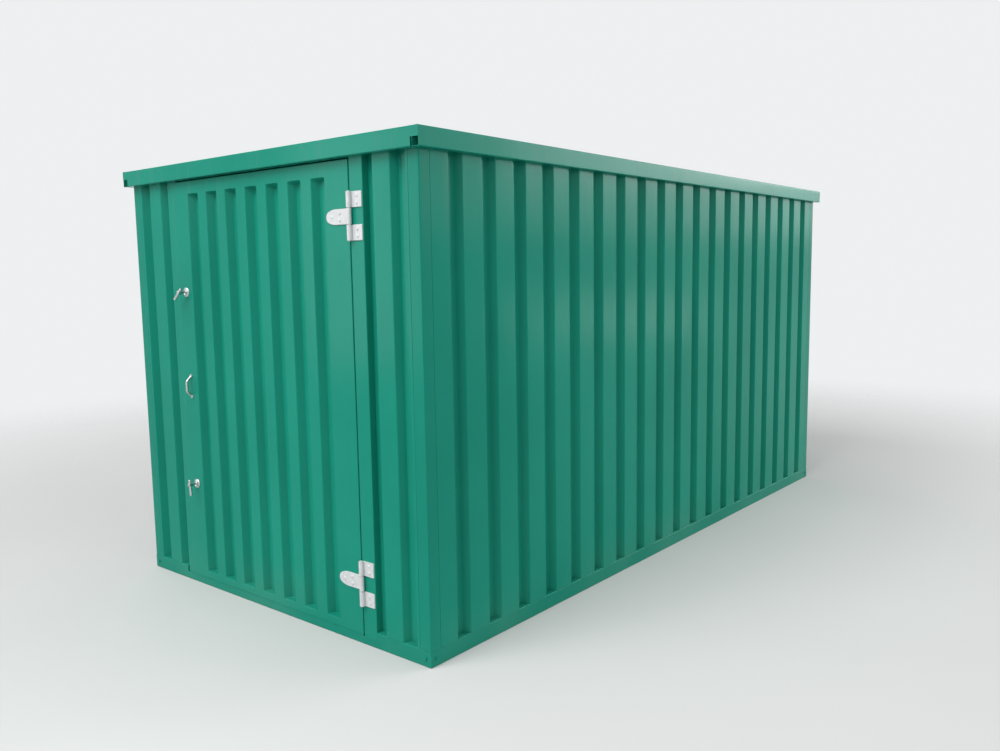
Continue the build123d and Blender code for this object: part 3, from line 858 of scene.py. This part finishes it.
def rounded_block(width, height, low, high, corner, bevel, centre):
    """A plate on the door wall: rounded rectangles between two distances from it.

    A quarter circle draws the outline in towards the high side: at the angle a it is smaller by
    bevel * (1 - cos(a)) all round and has risen by bevel * sin(a). A negative bevel is for a block
    that grows inwards from the wall, and its rim flares a little.
    """
    turn = np.concatenate([[0], np.linspace(0, pi / 2, 4)])[:, None]
    inset = bevel * (1 - np.cos(turn))
    out = np.concatenate([[[low]], high - bevel + bevel * np.sin(turn[1:])])
    angle = (np.arange(4)[:, None] * pi / 2 + np.linspace(0, pi / 2, 5)).ravel()
    radius = np.maximum(corner - inset, 0.2)
    quadrant = np.arange(4).repeat(5)
    sign_x = np.where((quadrant == 0) | (quadrant == 3), 1, -1)
    sign_z = np.where(quadrant < 2, 1, -1)
    x = centre[0] + sign_x * (width / 2 - inset - radius) + radius * np.cos(angle)
    z = centre[1] + sign_z * (height / 2 - inset - radius) + radius * np.sin(angle)
    return on_door_wall(x, z, out)


def cup_head(x, z, out, radius=8):
    """A cup-head bolt's dome and its square-cut rim: a spherical cap on a short cylinder."""
    swell = np.linspace(0, 1, 6)
    rise = 0.7 + 2.6 * np.sin(swell * pi / 2)
    profile = [(-0.5, radius), (0.5, radius), *zip(rise, radius * np.cos(swell * 1.45))]
    return turned_rings(profile, (x, -half_length - out, z), (0, -1, 0), 20)


def knuckle(height, length, radius):
    """A rolled barrel: a cylinder about the hinge's axis with its two rims broken."""
    half = length / 2
    profile = [
        (-half, radius - 1),
        (-half + 0.3, radius - 0.3),
        (-half + 1, radius),
        (half - 1, radius),
        (half - 0.3, radius - 0.3),
        (half, radius - 1),
    ]
    return turned_rings(profile, (hinge_x, -half_length - hinge_out, height), (0, 0, 1))


def strap_rings(height, start=509, full=565, step=634, end=649, tip=14):
    """The strap, one ring for each place along it: a flat bar of varying height.

    Its half height falls from 32 to 17 towards its start by a quarter sine, and there the tip
    rounds it off on a quarter circle. It stands 1.5 mm further out from the step to its end, over
    the gap beside the post.
    """
    x = np.concatenate(
        [
            start + tip * (1 - np.cos(np.linspace(0.05, pi / 2, 7))),
            np.linspace(start + 18, full, 8),
            np.linspace(full + 8, step, 5),
            np.linspace(step + 4, end, 4),
        ]
    )
    taper = np.clip((x - start) / (full - start), 0, 1)
    from_tip = np.clip(tip - (x - start), 0, tip)
    half = 17 + 15 * np.sin(taper * pi / 2) - tip + np.sqrt(tip**2 - from_tip**2)
    rise = 1.5 * np.clip((x - step) / 8, 0, 1)
    upper_edge = np.array([(1, 0), (1, 4), (0.97, 4.7), (0.92, 5)])
    edge = np.concatenate([upper_edge, upper_edge[::-1] * (-1, 1)])
    z = height + half[:, None] * edge[:, 0]
    out = rise[:, None] + edge[:, 1]
    return on_door_wall(x[:, None] + 0 * z, z, out)


for level, height in (("lower", 276), ("upper", 1828)):
    knuckles = (height - knuckle_step, height + knuckle_step)
    rings = [knuckle(z, knuckle_length, knuckle_radius) for z in knuckles]
    pin = [(-102, 5), (-101, 6.3), (101, 6.3), (102, 5)]
    rings.append(turned_rings(pin, (hinge_x, -half_length - hinge_out, height), (0, 0, 1)))
    middle = (hinge_x + plate_end) / 2
    for z in knuckles:
        rings.append(
            rounded_block(
                width=plate_end - hinge_x,
                height=knuckle_length,
                low=0,
                high=plate_thickness,
                corner=4,
                bevel=1,
                centre=(middle, z),
            )
        )
        for bolt in (-plate_bolt_step, plate_bolt_step):
            rings.append(cup_head(middle + 6, z + bolt, plate_thickness))
    name = f"{level}_hinge_post_leaf"
    parts = [through_rings(part) for part in rings]
    surface_piece(f"{name}_plates", parts, "building", hot_zinc.material, name)
    rings = [strap_rings(height), knuckle(height, knuckle_length, knuckle_radius)]
    rings += [cup_head(x, height + z, plate_thickness) for x, z in strap_bolts]
    name = f"{level}_hinge_strap"
    parts = [through_rings(part) for part in rings]
    surface_piece(f"{name}_bar", parts, "door", hot_zinc.material, name)


# Locks and handles. Each lock is a dished round rose outside, a barrel through the leaf and a case
# on the stile inside, with a T handle on its spindle. The pull handle is one bent steel bar.

plated = Finish("bright_zinc_plate", Metallic=0.95)
plated_cloud = plated.noise(70, 3)
brushed = plated.noise(900, 2, (1, 1, 0.1))
plated.feed("Base Color", plated.mix(plated_cloud, (0.44, 0.46, 0.46, 1), (0.6, 0.62, 0.61, 1)))
plated.feed("Roughness", plated_cloud * 0.14 + 0.2)
plated.bump((brushed, 0.00003), (plated.noise(25, 2), 0.0002))

lock_x = -596
rose_profile = [
    (0, 24),
    (2.5, 24),
    (3.5, 23.3),
    (5.5, 21),
    (7.3, 18),
    (8.4, 15),
    (8.8, 12.5),
    (7.6, 11.4),
    (7.6, 10.2),
    (9, 9.6),
    (9, 6.2),
]
barrel_profile = [(0, 7.5), (4, 7.5)]
# The bar sits off centre on its spindle, and its ends are rounded
bar_out, bar_half, bar_shift, bar_radius, end_round = 42, 42, 16, 7, 4
spindle_profile = [(-14, 6), (bar_out, 6)]
hub_profile = [(33, 6), (33.5, 9), (34.5, 10), (49, 10), (49.8, 9.2), (50, 8)]
turn = np.linspace(0.1, pi / 2, 6)
bar_end = end_round * np.stack([np.cos(turn), np.sin(turn)], -1)
bar_end = bar_end + (bar_half - end_round, bar_radius - end_round)
bar_profile = np.concatenate([bar_end * (-1, 1), bar_end[::-1]]) - (bar_shift, 0)
for level, height, bar_angle in (("lower", 534, 95), ("upper", 1515, 40)):
    on_face = (lock_x, -half_length, height)
    case = rounded_block(
        width=40,
        height=110,
        low=-3.5,
        high=-27.5,
        corner=3,
        bevel=-1,
        centre=(lock_x - 11, height),
    )
    parts = [
        through_rings(turned_rings(rose_profile, on_face, (0, -1, 0), around=40)),
        through_rings(turned_rings(barrel_profile, on_face, (0, 1, 0))),
        through_rings(case[:, ::-1]),
    ]
    name = f"{level}_lock"
    surface_piece(f"{name}_rose_and_case", parts, "door", plated.material, name)
    along_bar = (cos(radians(bar_angle)), 0, sin(radians(bar_angle)))
    bar_centre = (lock_x, -half_length - bar_out, height)
    parts = [
        through_rings(turned_rings(spindle_profile, on_face, (0, -1, 0))),
        through_rings(turned_rings(hub_profile, on_face, (0, -1, 0))),
        through_rings(turned_rings(bar_profile, bar_centre, along_bar)),
    ]
    name = f"{level}_lock_handle"
    body = f"{level}_handle"
    surface_piece(f"{name}_bar", parts, body, plated.material, name)

# The middle of the bow stands out by its reach, and a slope at each end leads to a round foot
pull_x, pull_height, pull_half, pull_reach, pull_slope = -597, 1039, 51.5, 27, 25
pull_radius = 6
pull_bend = 16


def bent_bar(route, radius, around=20):
    """Rings round a bar bent in one upright plane: at each point of its route, a circle.

    The circle lies between the plane's normal and the route's own normal, which is the average of
    the headings before and after the point, turned by a right angle.
    """
    step = np.diff(route, axis=0)
    heading = np.unwrap(np.arctan2(step[:, 1], step[:, 0]))
    heading = np.concatenate([heading[:1], (heading[:-1] + heading[1:]) / 2, heading[-1:]])
    angle = np.linspace(0, 2 * pi, around, endpoint=False)
    side = radius * np.cos(angle)
    out = route[:, :1] - np.sin(heading)[:, None] * side
    z = route[:, 1:] + np.cos(heading)[:, None] * side
    return on_door_wall(pull_x + radius * np.sin(angle) + 0 * z, z, out)


bow = [
    (0, pull_height - pull_half),
    (pull_reach, pull_height - pull_half + pull_slope),
    (pull_reach, pull_height + pull_half - pull_slope),
    (0, pull_height + pull_half),
]
route = folded_section(bow, thickness=0, inner_radius=pull_bend, arc_steps=8)[0]
foot_profile = [(0, 9.5), (4, 9.5), (4.7, 9), (5, 8)]
parts = [through_rings(bent_bar(route, pull_radius))]
for end in (-1, 1):
    foot = (pull_x, -half_length, pull_height + end * pull_half)
    parts.append(through_rings(turned_rings(foot_profile, foot, (0, -1, 0))))
surface_piece("pull_handle_bow", parts, "door", plated.material, "pull_handle")


# Studio. A plain pale floor that runs out into the pale background, and ten softboxes: one
# overhead, four in front, one at the left, a high one at the right and three beyond the long wall.

floor_finish = Finish("studio_floor", Specular_IOR_Level=0.1, Roughness=0.9)
floor_cloud = floor_finish.noise(0.7, 3)
floor_finish.feed(
    "Base Color", floor_finish.mix(floor_cloud, (0.64, 0.64, 0.635, 1), (0.68, 0.68, 0.675, 1))
)
from_middle = floor_finish.node(
    "VectorMath", {"operation": "LENGTH"}, {0: floor_finish.place}, output="Value"
)
floor_finish.feed("Alpha", from_middle.ramp(8.5, 3.4))
floor_reach = 14
floor_corners = np.array([(-1, -1, 0), (1, -1, 0), (1, 1, 0), (-1, 1, 0)]) * floor_reach
floor_mesh = bpy.data.meshes.new("studio_floor")
floor_mesh.from_pydata(floor_corners.tolist(), [], [(0, 1, 2, 3)])
floor_mesh.materials.append(floor_finish.material)
floor = bpy.data.objects.new("studio_floor", floor_mesh)
bpy.context.scene.collection.objects.link(floor)

# The room looks pale, also in the metal, but the lamps do most of the lighting
world = bpy.data.worlds.new("pale_room")
world.use_nodes = True
bpy.context.scene.world = world
room = world.node_tree
room_paint = room.nodes["Background"]
room_paint.inputs["Color"].default_value = (0.97, 0.985, 1, 1)
path = room.nodes.new("ShaderNodeLightPath")
strength = room.nodes.new("ShaderNodeMapRange")
strength.inputs["To Min"].default_value = 0.22
strength.inputs["To Max"].default_value = 0.88
seen = path.outputs["Is Camera Ray"]
for ray in ("Is Glossy Ray", "Is Transmission Ray"):
    either = room.nodes.new("ShaderNodeMath")
    either.operation = "MAXIMUM"
    room.links.new(seen, either.inputs[0])
    room.links.new(path.outputs[ray], either.inputs[1])
    seen = either.outputs[0]
room.links.new(seen, strength.inputs["Value"])
room.links.new(strength.outputs["Result"], room_paint.inputs["Strength"])


def softbox(name, centre, target, width, height, radiance):
    """A rectangular lamp that faces its target. Its power is radiance * pi * width * height."""
    lamp = bpy.data.lights.new(name, "AREA")
    lamp.shape = "RECTANGLE"
    lamp.size, lamp.size_y = width, height
    lamp.energy = radiance * pi * width * height
    stand = bpy.data.objects.new(name, lamp)
    stand.location = centre
    stand.rotation_euler = (Vector(target) - Vector(centre)).to_track_quat("-Z", "Y").to_euler()
    stand.visible_camera = False
    bpy.context.scene.collection.objects.link(stand)


softbox("overhead_softbox", (1, -2, 8), (1, -2, 0), 8, 8, 0.9)
softbox("front_high_softbox", (-0.8, -10.5, 12.6), (0.5, -2, 1.2), 10, 7, 5.6)
softbox("front_near_softbox", (0.2, -7.7, 5.4), (0.8, -2, 1), 4, 3.6, 2.5)
softbox("front_left_softbox", (-7, -9.5, 2.2), (0.3, -2, 1.1), 2.4, 4.2, 3)
softbox("left_softbox", (-9, 1, 5.5), (-1, 0.5, 1), 8, 5, 1.5)
softbox("front_right_softbox", (7, -8.5, 4.5), (0.8, -1, 1.2), 6, 4, 1.5)
softbox("right_high_softbox", (7, 1, 8), (1, 0, 1.5), 12, 4, 0.75)
softbox("side_softbox", (9, 11.5, 4.4), (1, 9, 3.8), 17, 4, 2.2)
softbox("rear_right_softbox", (6.5, 10.5, 5.5), (1, 1, 1.2), 7, 5, 4)
softbox("low_right_softbox", (9, 11.4, 0.6), (1, 4, 0.8), 4, 0.9, 2.8)
